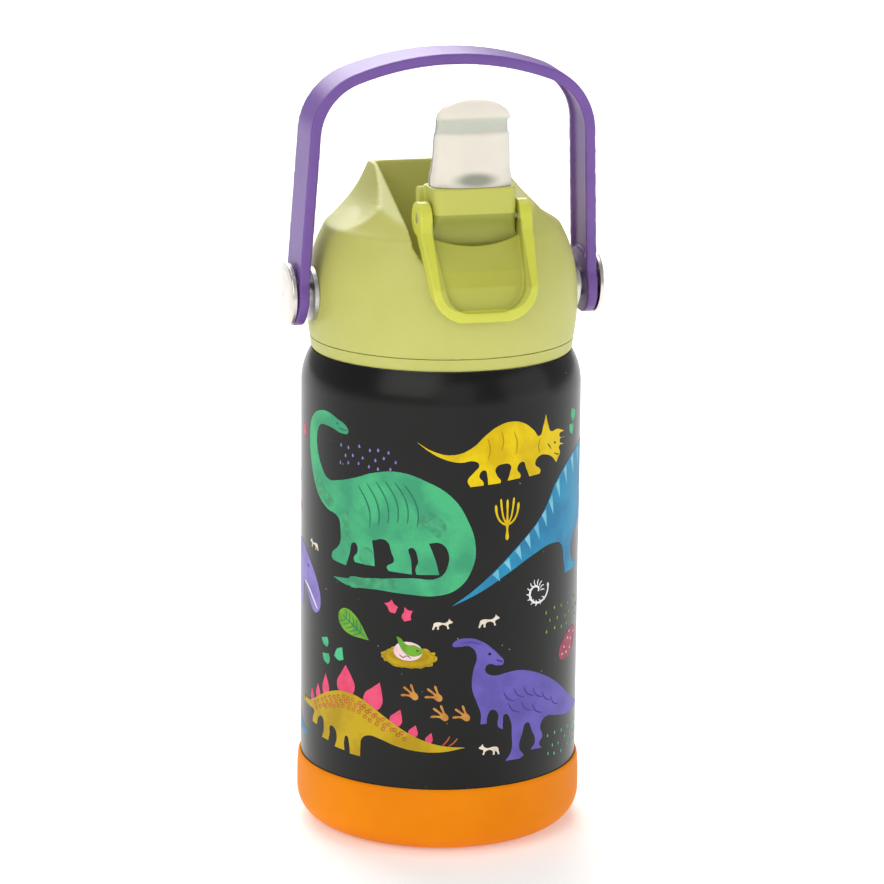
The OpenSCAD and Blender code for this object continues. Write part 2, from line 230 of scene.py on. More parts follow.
straw_clear, tree, place = new_finish("translucent_polypropylene_straw")
shader(tree, [("Base Color", two_tones(tree, place, "#eeebe2", "#e4e0d4", 14)),
              ("Normal", grain(tree, place, 0.8, 0.01, 0.3))],
       Roughness=0.28, IOR=1.49, Transmission_Weight=0.4, Subsurface_Weight=0.3,
       Subsurface_Scale=1 * MM)
print("silicones ready")

# %% [markdown]
# ### Metals
# The caps are polished stainless steel. Turning leaves rings too fine to see, so they are drawn at
# a quarter of a millimetre. The drawn walls, pin and bushes are plainer steel, and the inserts are
# brass. A metal keeps the default IOR.

# %% Metal finishes
def turned_metal(name, light, dark, rough, ring_mm, centre=None):
    finish, tree, place = new_finish(name)
    flat = add(tree, "ShaderNodeMapping", [("Vector", place)])
    if centre:
        flat.inputs["Location"].default_value = [-v for v in centre]
        turn = add(tree, "ShaderNodeTexWave", [("Vector", flat.outputs["Vector"])],
                   wave_type="RINGS", rings_direction="X", Scale=per(ring_mm) / 20, Distortion=0.6)
    else:
        turn = add(tree, "ShaderNodeTexWave", [("Vector", flat.outputs["Vector"])],
                   wave_type="BANDS", bands_direction="Z", Scale=per(ring_mm) / 20, Distortion=1.5)
    bump = add(tree, "ShaderNodeBump", [("Height", turn.outputs["Fac"])],
               Strength=0.12, Distance=0.02 * MM)
    smear = add(tree, "ShaderNodeTexNoise", [("Vector", place)], Scale=per(4), Detail=3)
    wear = add(tree, "ShaderNodeMapRange", [("Value", smear.outputs["Fac"])],
               To_Min=rough * 0.8, To_Max=rough * 1.3)
    shader(tree, [("Base Color", two_tones(tree, place, light, dark, 6)),
                  ("Roughness", wear.outputs["Result"]), ("Normal", bump.outputs["Normal"])],
           Metallic=1)
    return finish


HANDLE_Z = 142.5
cap_steel = turned_metal("polished_stainless_steel", "#e3dcd6", "#d6cfca", 0.24, 0.25,
                         (0, 0, HANDLE_Z * MM))
plain_steel = turned_metal("drawn_stainless_steel", "#cfcecb", "#bfbebb", 0.3, 0.4)
brass = turned_metal("knurled_brass", "#c9a54a", "#ad8a38", 0.3, 0.5)
getter_grey = turned_metal("pressed_getter_metal", "#8f9498", "#7d8286", 0.45, 0.6)

glass_bead, tree, place = new_finish("fused_sealing_glass")
shader(tree, [("Base Color", two_tones(tree, place, "#8b999b", "#77868a", 1.5)),
              ("Normal", grain(tree, place, 0.6, 0.02))], Roughness=0.12, IOR=1.52,
       Transmission_Weight=0.3)
print("metals and glass ready")

# %% [markdown]
# ## CAD pieces that keep their shape
# The hidden insides and the small turned hardware are right as they are. They only need a finish.

# %% Dress the CAD pieces
def dress(node, finish):
    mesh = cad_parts[node].data
    mesh.materials.clear()
    mesh.materials.append(finish)


for finish, nodes in [
    (plain_steel, ["inner_wall", "base_plate", "spout_pin", "bush_left", "bush_right"]),
    (cap_steel, ["screw_left", "screw_right"]),
    (brass, ["insert_left", "insert_right"]),
    (glass_bead, ["vacuum_seal"]),
    (getter_grey, ["getter"]),
    (milky_silicone, ["lid_gasket", "vent_valve"]),
    (straw_clear, ["straw"]),
    (lid_green, ["lid_base"]),
]:
    for node in nodes:
        dress(node, finish)
    print(finish.name, "on", ", ".join(nodes))

# %% [markdown]
# ## Tools for turned and moulded pieces
# A turned piece starts as one circle. It is extruded ring by ring up its outline, and each ring is
# scaled to its radius. A moulded piece starts as a copy of its CAD node, because its fits are
# already right; it is remeshed in small even squares and relaxed, which rounds every edge by about
# half a millimetre as a real mould does.

# %% Helpers for pieces
def calm():
    """Object mode, with nothing selected."""
    if bpy.context.object and bpy.context.object.mode != "OBJECT":
        bpy.ops.object.mode_set(mode="OBJECT")
    bpy.ops.object.select_all(action="DESELECT")


def pick(piece):
    calm()
    piece.select_set(True)
    bpy.context.view_layer.objects.active = piece


def arc(cr, cz, r, a0, a1, n):
    """Points of a profile on an arc, centre (cr, cz), in degrees."""
    angles = [math.radians(a0 + (a1 - a0) * i / n) for i in range(n + 1)]
    return [(cr + r * math.cos(a), cz + r * math.sin(a)) for a in angles]


def turned(name, profile, steps, x=0.0, y=0.0, close="fill"):
    """A closed turned piece. close is 'fill' for flat ends, or 'ring' where the profile returns."""
    calm()
    bpy.ops.mesh.primitive_circle_add(vertices=steps, radius=profile[0][0] * MM,
                                      location=(x * MM, y * MM, profile[0][1] * MM))
    bpy.ops.object.transform_apply(location=True, rotation=True, scale=True)
    piece = bpy.context.object
    piece.name = name
    bpy.ops.object.mode_set(mode="EDIT")
    bpy.ops.mesh.select_all(action="SELECT")
    if close == "fill":
        bpy.ops.mesh.edge_face_add()
        bpy.ops.mesh.select_all(action="SELECT")
    rings = list(profile) + ([profile[0]] if close == "ring" else [])
    for (r0, z0), (r1, z1) in zip(rings, rings[1:]):
        bpy.ops.mesh.extrude_region_move(TRANSFORM_OT_translate={"value": (0, 0, (z1 - z0) * MM)})
        bpy.ops.transform.resize(value=(r1 / r0, r1 / r0, 1),
                                 center_override=(x * MM, y * MM, z1 * MM))
    bpy.ops.mesh.select_all(action="SELECT")
    bpy.ops.mesh.remove_doubles(threshold=0.5e-6)
    bpy.ops.mesh.normals_make_consistent(inside=False)
    bpy.ops.object.mode_set(mode="OBJECT")
    bpy.ops.object.shade_smooth_by_angle(angle=math.radians(32))
    return piece


def moulded(name, node, cell_mm, rounds, keep=1.0):
    """A copy of a CAD node, with every edge softly rounded."""
    calm()
    piece = bpy.data.objects.new(name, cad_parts[node].data.copy())
    bpy.context.scene.collection.objects.link(piece)
    pick(piece)
    piece.data.materials.clear()
    bpy.ops.object.mode_set(mode="EDIT")
    bpy.ops.mesh.select_all(action="SELECT")
    bpy.ops.mesh.remove_doubles(threshold=1e-6)
    bpy.ops.object.mode_set(mode="OBJECT")
    cells = piece.modifiers.new("cells", "REMESH")
    cells.mode = "VOXEL"
    cells.voxel_size = cell_mm * MM
    cells.use_smooth_shade = True
    relax = piece.modifiers.new("relax", "SMOOTH")
    relax.factor = 0.5
    relax.iterations = rounds
    if keep < 1:
        thin = piece.modifiers.new("thin", "DECIMATE")
        thin.ratio = keep
    for modifier in [m.name for m in piece.modifiers]:
        bpy.ops.object.modifier_apply(modifier=modifier)
    bpy.ops.object.shade_smooth()
    return piece


def fit(piece, body, slot, finish, *stands_for):
    """Gives a finished piece its material and its place in the frame."""
    piece.data.materials.clear()
    piece.data.materials.append(finish)
    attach(piece, body)
    if stands_for:
        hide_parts(*stands_for)
    print(f"{piece.name}: {len(piece.data.polygons)} faces on {body}")

# %% [markdown]
# ## The steel body and its boot
# Both are turned. The body's shoulder pulls in to the lip on a round arc, and the boot is a cup with
# a full bottom corner and a thin lip that hugs the steel.

# %% Body and boot
BODY_R, LIP_Z, BOOT_H = 36.5, 127.0, 17.8
SHOULDER_R, SHOULDER_Z = 17.0, 118.0

body = turned("body_shell", [(31.05, 2.82)] + arc(32, 7.32, 4.5, -90, 0, 10)
              + [(BODY_R, 2.82 + k * 4) for k in range(5, 28, 2)]
              + arc(BODY_R - SHOULDER_R, SHOULDER_Z, SHOULDER_R, 0, 32, 20)
              + [(33.9, LIP_Z - 0.04), (33.6, LIP_Z), (33.22, LIP_Z - 0.1)]
              + arc(BODY_R - SHOULDER_R, SHOULDER_Z, SHOULDER_R - 0.7, 31, 0, 14)
              + arc(32, 7.32, 3.8, 0, -90, 10) + [(31.05, 3.52)], 256, close="ring")
fit(body, "bottle", "black_powder_coat", powder_black, "outer_wall")

foot = [(0.5, 0), (23.6, 0), (24, 0.12), (24.2, 0.55), (25.8, 0.55), (26, 0.12), (26.4, 0)]
boot = turned("silicone_boot", foot + arc(29.5, 8, 8, -90, 0, 20) + [(37.5, 10), (37.45, 14)]
              + [(37.3, 16.2), (37.2, 17.1), (37.0, 17.6), (36.75, BOOT_H), (36.53, 17.7), (36.52, 12)]
              + arc(32.02, 7.3, 4.5, 0, -90, 12) + [(0.5, 2.8)], 192)
fit(boot, "bottle", "boot_silicone", boot_orange, "base_boot")

# %% [markdown]
# ## The moulded pieces
# The lid shell, the spout carrier, the guard and the handle follow the CAD exactly where they bear
# on each other. The soft edges are what makes them look moulded.

# %% Lid, carrier, guard and handle
HOOD_LOW, HOOD_HIGH = 147, 172
shell = moulded("lid_shell_moulding", "lid_shell", 0.45, 7, 0.55)
hood = shell.vertex_groups.new(name="hood")
for v in shell.data.vertices:
    x, y, z = v.co / MM
    outward = v.normal.x * x + v.normal.y * y > 0.25 * math.hypot(x, y)
    if HOOD_LOW < z < HOOD_HIGH and outward and abs(v.normal.z) > 0.05:
        hood.add([v.index], min((z - HOOD_LOW) / 3, (HOOD_HIGH - z) / 8, 1), "REPLACE")
pick(shell)
ease = shell.modifiers.new("ease", "SMOOTH")
ease.vertex_group, ease.factor, ease.iterations = "hood", 0.5, 24
bpy.ops.object.modifier_apply(modifier="ease")
print("hood eased over", len([v for v in shell.data.vertices if v.groups]), "points")
fit(shell, "lid", "lid_plastic", lid_green, "lid_shell")
carrier = moulded("spout_carrier_moulding", "spout_carrier", 0.25, 5)
fit(carrier, "spout", "carrier_plastic", carrier_green, "spout_carrier")
guard = moulded("guard_moulding", "guard", 0.25, 5)
fit(guard, "guard", "guard_plastic", guard_green, "guard")
handle = moulded("loop_handle", "handle", 0.35, 5)
fit(handle, "handle", "handle_plastic", strap_purple, "handle")

# %% [markdown]
# ### Painted shade on the plastic
# The guard's web is thinner than its rim and lies inside it, and the carrier's underside comes from
# a rougher part of the mould. Both get a second finish of a deeper colour: painted shade, where less
# light reaches. The carrier's front also turns in below a crease, which a small move of its front
# vertices gives.

# %% Second finishes
# Painted shade: a deeper lime for the guard's recessed web.
web_painted_shade = polypropylene("painted_shade_polypropylene_lime_web", "#b3b448", "#acad42", 0.34, 0.01)
# Painted shade: a darker, slightly rougher lime for the carrier's underside.
carrier_painted_shade = polypropylene("rough_polypropylene_lime_painted_shade", "#9da046", "#979a40", 0.5, 0.02)


def second_finish(piece, finish, inside):
    """Gives the faces whose centre and normal pass the test a second material."""
    piece.data.materials.append(finish)
    chosen = [f for f in piece.data.polygons if inside(f.center / MM, f.normal)]
    for face in chosen:
        face.material_index = 1
    print(piece.name, len(chosen), "faces in", finish.name)


GUARD_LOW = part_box("guard")[0][2] / MM
WEB_HALF, WEB_R, WEB_TOP = 5.7, 6.1, 165


def in_web(p, normal):
    """Inside the guard's rim: a panel with round lower corners."""
    across, up = abs(p.x) - WEB_HALF, GUARD_LOW + 9 - p.z
    corner = math.hypot(max(across, 0), max(up, 0))
    return corner < WEB_R and p.z < WEB_TOP and normal.y < 0.3


CREASE_Z, CARRIER_LOW, CARRIER_FRONT = 166.6, 156, -27.6
for v in carrier.data.vertices:
    x, y, z = v.co / MM
    if y < CARRIER_FRONT and CARRIER_LOW < z < CREASE_Z:
        v.co.y += min((CARRIER_FRONT - y) / 1.5, 1) * 0.3 * (CREASE_Z - z) * MM
# Painted shade: the faces inside the guard's rim get the deeper lime.
second_finish(guard, web_painted_shade, in_web)
# Painted shade: the carrier's faces below the crease get the darker lime.
second_finish(carrier, carrier_painted_shade, lambda p, normal: p.z < CREASE_Z and normal.y < 0.2)

# %% [markdown]
# ## The bite mouthpiece
# Silicone is cast as one soft plug: a flange that seals in the carrier, a flat-fronted neck to bite
# on, a groove, and a round tip with a slit. It starts as a circle, extruded ring by ring. Then each
# ring is pressed from a circle into a rounded oblong of the piece's width and depth at that height.

# %% Mouthpiece shape
MOUTH_LOW, MOUTH_R, TIP_UP, DOME_TALL = 173.25, 10, 17.4, 4.6


def between(table, z):
    """A value read off a table of (height, value) pairs, with eased steps."""
    for (z0, a), (z1, b) in zip(table, table[1:]):
        if z <= z1:
            t = min(max((z - z0) / (z1 - z0), 0), 1)
            return a + (b - a) * t * t * (3 - 2 * t)
    return table[-1][1]


heights = [0, 0.25, 0.8, 1.5, 2.2, 2.9, 3.6, 4.2] + [4.8 + 0.8 * k for k in range(11)] + [
    13.1, 13.4, 13.8, 14.3, 14.9, 15.6, 16.3, 16.8, 17.1, TIP_UP]
rings = [(1, z) for z in heights]
rings += [(math.cos(math.radians(a)), TIP_UP + DOME_TALL * math.sin(math.radians(a)))
          for a in range(6, 90, 6)]
mouth = turned("bite_mouthpiece", [(r * MOUTH_R, MOUTH_LOW + z) for r, z in rings], 128)
HALF_WIDE = [(0, 10.45), (2.6, 10.4), (4.2, 10.05), (9, 9.85), (13.0, 9.7), (13.7, 9.3), (16.6, 9.2),
             (17.3, 9.45), (22, 9.4)]
FRONT = [(0, -29.35), (2.6, -29.3), (4.2, -29.0), (9, -28.95), (13.0, -28.85), (13.7, -28.4),
         (16.6, -28.3), (17.3, -28.6), (22, -28.5)]
BACK = [(0, -18.4), (2.2, -18.6), (8, -20.6), (22, -23.0)]
for v in mouth.data.vertices:
    x, y, z = v.co / MM
    up, far = z - MOUTH_LOW, math.hypot(x, y) / MOUTH_R
    round_off = 5.0 if y < 0 else 3.2
    round_off -= 1.2 * min(max((up - 17) / 2, 0), 1)
    if far > 1e-4:
        c, s = x / (far * MOUTH_R), y / (far * MOUTH_R)
        far /= (abs(c) ** round_off + abs(s) ** round_off) ** (1 / round_off)
        front, rear = between(FRONT, up), between(BACK, up)
        x = between(HALF_WIDE, up) * far * c
        y = (front + rear) / 2 + (rear - front) / 2 * far * s
        if s < 0 and up < 17:
            y += 0.22 * max(abs(x) - 4.0, 0) * min(far, 1)
    else:
        x, y = 0, (between(FRONT, up) + between(BACK, up)) / 2
    v.co = Vector((x, y, z)) * MM
pick(mouth)
soften = mouth.modifiers.new("soften", "SMOOTH")
soften.factor, soften.iterations = 0.5, 2
bpy.ops.object.modifier_apply(modifier="soften")
bpy.ops.object.shade_smooth()

# %% Mouthpiece finish
SLIT_Y, SOCKET_Z = -25.75, 175.1


def soft_window(tree, share, edges):
    """A mask of this share where every edge has risen. An edge is a value, its start and its end."""
    mask = None
    for source, start, end in edges:
        rise = add(tree, "ShaderNodeMapRange", [("Value", source)], interpolation_type="SMOOTHSTEP",
                   From_Min=start, From_Max=end, To_Max=share if mask is None else 1)
        if mask is None:
            mask = rise.outputs["Result"]
        else:
            both = add(tree, "ShaderNodeMath", [(0, mask), (1, rise.outputs["Result"])],
                       operation="MULTIPLY")
            mask = both.outputs[0]
    return mask


def mouth_colours(tree, place):
    """Milky, with a sage shadow in the groove and where the hollow socket shows through."""
    at = add(tree, "ShaderNodeSeparateXYZ", [("Vector", place)]).outputs
    slit = add(tree, "ShaderNodeMapping", [("Vector", place)], vector_type="POINT")
    slit.inputs["Location"].default_value = (0, -SLIT_Y * MM, 0)
    off = add(tree, "ShaderNodeVectorMath", [(0, slit.outputs["Vector"])], operation="ABSOLUTE")
    off_slit = add(tree, "ShaderNodeSeparateXYZ", [("Vector", off.outputs["Vector"])]).outputs
    socket = add(tree, "ShaderNodeMapping", [("Vector", place)], vector_type="POINT")
    socket.inputs["Location"].default_value = (0, 0, -SOCKET_Z / 2.6)
    socket.inputs["Scale"].default_value = (1 / (7.6 * MM), 0, 1 / (2.6 * MM))
    reach = add(tree, "ShaderNodeVectorMath", [(0, socket.outputs["Vector"])], operation="LENGTH")
    colour = two_tones(tree, place, "#f1ebe1", "#ebe5d9", 12)
    for shade, share, edges in [
        ("#bfc6b8", 0.75, [(at["Z"], 186.4 * MM, 187.4 * MM), (at["Z"], 191.3 * MM, 190.3 * MM)]),
        ("#8f9484", 0.9, [(reach.outputs["Value"], 1, 0.3), (at["Y"], -27.2 * MM, -28.4 * MM)]),
        ("#9a958a", 0.9, [(at["Z"], 193.6 * MM, 193.9 * MM), (off_slit["X"], 3.3 * MM, 2.9 * MM),
                          (off_slit["Y"], 0.22 * MM, 0.1 * MM)]),
    ]:
        mix = add(tree, "ShaderNodeMix", [("Factor", soft_window(tree, share, edges)), (6, colour)],
                  data_type="RGBA")
        mix.inputs[7].default_value = linear(shade)
        colour = mix.outputs[2]
    return colour


cast_silicone = milky("cast_milky_silicone_mouthpiece", mouth_colours)
fit(mouth, "spout", "clear_silicone", cast_silicone, "mouthpiece")

# %% [markdown]
# ## The soft stem
# Under the mouthpiece a silicone stem runs down through the well. Its lower end stays in its socket.
# On the real bottle the part above the well's floor gives way as the spout folds. Here it is a piece of
# its own, with its own mesh, fixed to the lid.

# %% Stem
FLOW_Y, WELL_Z = -21.3, 148.5
stem_low = turned("stem_socket_end", [(3, 129.0), (3, WELL_Z), (1.9, WELL_Z), (1.9, 129.0)], 48,
                  y=FLOW_Y, close="ring")
fit(stem_low, "lid", "clear_silicone", milky_silicone)
ripples = [(3 + 0.12 * math.sin(k), WELL_Z + 0.5 + k * 1.2) for k in range(20)]
stem = turned("soft_stem", [(3, WELL_Z + 0.01)] + ripples
              + [(3, 173), (1.9, 173), (1.9, WELL_Z + 0.01)], 48, y=FLOW_Y, close="ring")
fit(stem, "lid", "clear_silicone", milky_silicone, "spout_tube")
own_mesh(stem)

# %% [markdown]
# ## Printed pictures
# The dinosaurs are screen printed on the powder coat, so each is a very thin skin of ink. A picture
# is drawn flat, in millimetres: first how far round the body from the front, then how high up. The
# outline is a closed curve with a little thickness. It is made a mesh, cut into upright strips and
# laid round the steel, so that it follows the curve. Later inks lie on top of earlier ones.

# %% Inks
def ink(name, light, dark, cloud_mm=5):
    """Screen ink: two close tones, broken by a fine dry grain, as a worn stencil leaves."""
    finish, tree, place = new_finish(name)
    speck = add(tree, "ShaderNodeTexNoise", [("Vector", place)], Scale=per(0.55), Detail=3)
    broken = add(tree, "ShaderNodeMapRange", [("Value", speck.outputs["Fac"])],
                 From_Min=0.52, From_Max=0.7, To_Max=0.35)
    colour = add(tree, "ShaderNodeMix", [("Factor", broken.outputs["Result"]),
                 (6, two_tones(tree, place, light, dark, cloud_mm, 0.42, 0.62))], data_type="RGBA")
    colour.inputs[7].default_value = linear(dark)
    shader(tree, [("Base Color", colour.outputs[2]), ("Normal", grain(tree, place, 0.6, 0.01, 0.2))],
           Roughness=0.42, IOR=1.48, Specular_IOR_Level=0.15)
    return finish


INKS = {
    "green": ink("screen_ink_green", "#4bb57d", "#3f9a72", 9),
    "moss": ink("screen_ink_moss_green", "#4aa878", "#3f8f69", 2.5),
    "deep_green": ink("screen_ink_deep_green", "#2f7d60", "#2a6f58"),
    "yellow": ink("screen_ink_yellow", "#e3c50c", "#cfae06", 7),
    "ochre": ink("screen_ink_ochre", "#a98a08", "#967a08"),
    "blue": ink("screen_ink_blue", "#2b8fb6", "#2c7aa6", 9),
    "pale_blue": ink("screen_ink_pale_blue", "#7ec4d8", "#63b3cc"),
    "purple": ink("screen_ink_purple", "#6a5fb6", "#5f55a4", 7),
    "deep_purple": ink("screen_ink_deep_purple", "#4d429a", "#453b8a"),
    "lilac": ink("screen_ink_lilac", "#8f7fc8", "#7d6db8", 7),
    "gold": ink("screen_ink_gold", "#c4a61c", "#b09216", 7),
    "rust": ink("screen_ink_rust", "#c2603a", "#a84f30"),
    "pink": ink("screen_ink_pink", "#e8557a", "#dc466c", 4),
    "leaf": ink("screen_ink_leaf_green", "#74ac35", "#5f9a2c", 4),
    "mint": ink("screen_ink_mint", "#52c08a", "#43ab7a", 3),
    "bone": ink("screen_ink_bone", "#ece0d0", "#dccdb8", 3),
    "white": ink("screen_ink_white", "#eef1ef", "#dfe4e2", 3),
    "blush": ink("screen_ink_blush", "#f0d3d8", "#e4c0c8", 3),
    "tan": ink("screen_ink_tan", "#cc9148", "#b97c38", 3),
    "plum": ink("screen_ink_plum", "#a5485c", "#8f3a50", 3),
    "coral": ink("screen_ink_coral", "#e0704a", "#cc5c3c", 6),
    "black": ink("screen_ink_black", "#232120", "#1c1a19"),
}
print(len(INKS), "inks")

# %% Helpers for drawing
def moved(lines, across=0.0, up=0.0, size=1.0, flip=False, turn=0.0):
    """Copies of outlines, scaled, flipped, turned (degrees) and moved."""
    c, s, side = math.cos(math.radians(turn)), math.sin(math.radians(turn)), -1 if flip else 1
    return [[(across + size * (side * p[0] * c - p[1] * s), up + size * (side * p[0] * s + p[1] * c),
              *p[2:]) for p in line] for line in lines]


def stroke(points, width, tip=0.25):
    """A brush stroke along points: full width in the middle, thin at both ends."""
    left, right = [], []
    for k, p in enumerate(points):
        a, b = points[max(k - 1, 0)], points[min(k + 1, len(points) - 1)]
        run = math.hypot(b[0] - a[0], b[1] - a[1])
        u = k / (len(points) - 1)
        half = width / 2 * (tip + (1 - tip) * math.sin(math.pi * u) ** 0.5)
        nx, nz = -(b[1] - a[1]) / run * half, (b[0] - a[0]) / run * half
        left.append((p[0] + nx, p[1] + nz))
        right.append((p[0] - nx, p[1] - nz))
    return left + right[::-1]


def oval(s, z, wide, tall, turn=0.0, n=12):
    ring = [(wide / 2 * math.cos(2 * math.pi * k / n), tall / 2 * math.sin(2 * math.pi * k / n))
            for k in range(n)]
    return moved([ring], s, z, turn=turn)[0]


def body_radius(z):
    """Radius of the steel at a height in millimetres."""
    if z <= SHOULDER_Z:
        return BODY_R
    return BODY_R - SHOULDER_R + math.sqrt(max(SHOULDER_R ** 2 - (z - SHOULDER_Z) ** 2, 1))


INK_HALF, INK_LIFT, LEVEL_STEP, SHAPE_STEP = 0.03, 0.015, 0.03, 0.0004


def flat_shape(outline, ink_name, height):
    """One filled outline as a thin closed slab, still flat, in millimetres."""
    curve = bpy.data.curves.new("outline", "CURVE")
    curve.dimensions, curve.fill_mode = "2D", "BOTH"
    curve.extrude, curve.resolution_u = INK_HALF, 4
    spline = curve.splines.new("BEZIER")
    spline.bezier_points.add(len(outline) - 1)
    for knot, (s, z, *sharp) in zip(spline.bezier_points, outline):
        knot.co = (s, z, 0)
        knot.handle_left_type = knot.handle_right_type = "VECTOR" if sharp else "AUTO"
    spline.use_cyclic_u = True
    shape = bpy.data.objects.new("outline", curve)
    bpy.context.scene.collection.objects.link(shape)
    shape.location.z = height
    shape.select_set(True)
    bpy.context.view_layer.objects.active = shape
    curve.materials.append(INKS[ink_name])
    return shape


def printed(name, layers, strip_mm=1.5):
    """A printed picture from its layers, each an ink and its outlines."""
    calm()
    count = 0
    for level, (ink_name, outlines) in enumerate(layers):
        for k, outline in enumerate(outlines):
            flat_shape(outline, ink_name, INK_LIFT + LEVEL_STEP * level + SHAPE_STEP * (k % 20))
            count += 1
    bpy.ops.object.convert(target="MESH")
    bpy.ops.object.transform_apply(location=True, rotation=True, scale=True)
    bpy.ops.object.join()
    piece = bpy.context.object
    piece.name = name
    bpy.ops.object.mode_set(mode="EDIT")
    bpy.ops.mesh.select_all(action="SELECT")
    bpy.ops.mesh.remove_doubles(threshold=0.0001)
    low, high = (f(v.co.x for v in piece.data.vertices) for f in (min, max))
    cut = math.floor(low / strip_mm) * strip_mm + strip_mm
    while cut < high:
        bpy.ops.mesh.select_all(action="SELECT")
        bpy.ops.mesh.bisect(plane_co=(cut, 0, 0), plane_no=(1, 0, 0))
        cut += strip_mm
    bpy.ops.mesh.select_all(action="SELECT")
    bpy.ops.mesh.normals_make_consistent(inside=False)
    bpy.ops.object.mode_set(mode="OBJECT")
    for v in piece.data.vertices:
        s, z, h = v.co
        turn, r = s / BODY_R, body_radius(z) + h
        v.co = Vector((r * math.sin(turn), -r * math.cos(turn), z)) * MM
    bpy.ops.object.shade_smooth_by_angle(angle=math.radians(40))
    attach(piece, "bottle")
    print(f"{name}: {count} shapes, {len(piece.data.polygons)} faces")


def copied(name, layers, *placing):
    """A motif that was drawn elsewhere, printed again in these inks."""
    printed(name, [(ink_name, moved(lines, *placing)) for ink_name, lines in layers])


def scattered(lines, places):
    """One small motif at several places, each with its size and turn."""
    return [shape for s, z, size, turn in places for shape in moved(lines, s, z, size, turn=turn)]

# %% [markdown]
# ### The long-necked dinosaur
# One big green shape: neck up the left, a high back, four pillar legs, and a tail that sweeps
# round and under the feet. Ribs and folds are thin darker strokes.

# %% Long neck
LONG_NECK = [
    (-36.0, 110.0), (-36.6, 111.5), (-39.8, 113.0), (-43.6, 114.2), (-47.4, 113.9), (-50.8, 112.2),
    (-52.8, 109.4), (-53.3, 105.8), (-52.6, 100.6), (-50.8, 95.8), (-48.2, 91.8), (-44.0, 88.8),
    (-39.4, 87.2), (-38.6, 84.4), (-38.8, 80.4), (-42.0, 76.6), (-41.2, 75.6, 1), (-36.6, 75.0, 1),
    (-35.4, 78.2), (-33.9, 81.6), (-32.7, 79.6), (-34.0, 77.4), (-33.6, 76.4, 1), (-27.6, 76.2, 1),
    (-27.9, 79.6), (-28.4, 82.9, 1), (-24.5, 83.4), (-22.9, 80.2), (-22.3, 78.0), (-24.2, 76.4),
    (-23.6, 75.4, 1), (-17.5, 75.0, 1), (-17.7, 78.6), (-18.0, 82.0), (-15.9, 78.6), (-16.6, 76.4),
    (-16.3, 75.0, 1), (-10.5, 75.1, 1), (-11.5, 79.0), (-13.2, 83.3, 1), (-10.2, 83.4), (-8.3, 81.2),
    (-8.3, 77.6), (-10.3, 74.5), (-17.4, 74.0), (-24.0, 73.4), (-31.4, 72.2), (-41.2, 71.2, 1),
    (-36.4, 69.9), (-27.2, 70.1), (-18.8, 69.7), (-10.2, 69.7), (-5.4, 71.7), (-2.0, 76.6),
    (-1.2, 82.2), (-3.2, 89.0), (-7.4, 95.4), (-13.8, 99.4), (-20.8, 101.5), (-27.6, 100.8),
    (-33.8, 98.6), (-39.6, 97.0), (-43.4, 96.6), (-46.3, 99.0), (-48.6, 103.6), (-48.8, 107.6),
    (-47.0, 110.3), (-44.8, 110.6), (-41.6, 110.3), (-38.0, 109.5),
]
ribs = [stroke([(s, z), (s + 2.4, z - 3.4), (s + 3.6, z - 7.2), (s + 3.4, z - 10.6)], 0.36)
        for s, z in [(-32.6, 96.6), (-30.0, 97.6), (-27.4, 98.4), (-24.8, 98.8), (-22.2, 98.8),
                     (-19.6, 98.2)]]
face = [oval(-39.8, 111.8, 0.7, 0.55), stroke([(-36.4, 110.6), (-37.8, 110.5), (-39.2, 110.9)], 0.25)]
shade = [stroke([(-48.6, 96.0), (-46.0, 92.6), (-43.4, 91.0), (-41.4, 90.4)], 3.4, 0.4),
         stroke([(-29.6, 80.4), (-30.2, 78.4), (-30.6, 76.7)], 4.0, 0.7),
         stroke([(-36.0, 70.9), (-30.4, 71.4), (-25.0, 71.9), (-21.4, 72.0)], 2.6, 0.5),
         stroke([(-36.4, 90.0), (-36.9, 85.4), (-37.4, 81.0)], 2.2),
         stroke([(-15.6, 90.0), (-12.0, 88.6), (-9.6, 85.4)], 4.2, 0.5)]
printed("print_long_neck", [("green", [LONG_NECK]), ("moss", shade), ("deep_green", ribs + face)])

# %% [markdown]
# ### The horned dinosaur and the branching plant

# %% Horned
HORNED = [
    (-16.6, 109.7, 1), (-12.0, 107.2), (-7.0, 106.4), (-2.4, 108.1), (1.4, 111.4), (4.8, 113.5),
    (8.4, 114.2), (12.2, 113.3), (15.4, 111.0), (17.3, 109.3), (18.7, 111.8), (19.6, 114.6, 1),
    (20.5, 111.8), (21.6, 109.9), (24.4, 110.0), (27.8, 108.9, 1), (25.4, 108.2), (28.2, 107.2, 1),
    (25.6, 106.8), (27.8, 105.4, 1), (25.4, 105.2), (25.9, 103.4), (25.0, 102.3, 1), (24.2, 101.2, 1),
    (22.6, 102.8), (20.4, 103.9), (17.2, 104.0), (15.9, 102.2), (17.8, 100.4), (17.6, 99.4, 1),
    (14.0, 99.2, 1), (12.9, 101.6), (11.9, 103.4), (10.1, 101.8), (11.2, 99.9), (11.0, 99.2, 1),
    (7.3, 98.9, 1), (8.0, 101.0), (8.2, 102.8), (5.8, 103.4), (3.9, 102.4), (4.4, 100.4),
    (5.4, 99.1), (5.3, 98.5, 1), (1.9, 98.3, 1), (1.7, 100.4), (0.9, 102.2), (-0.5, 100.7),
    (0.7, 98.9), (0.6, 98.2, 1), (-2.8, 98.0, 1), (-3.5, 99.6), (-1.8, 101.8), (-0.5, 103.6),
    (-1.6, 104.6), (-5.4, 104.4), (-9.2, 105.2), (-13.2, 107.2),
]
marks = [oval(23.4, 106.6, 0.7, 0.55), stroke([(20.4, 106.8), (21.2, 106.0), (21.7, 105.2)], 0.3),
         stroke([(25.4, 103.2), (24.2, 103.4), (23.2, 103.9)], 0.25)]
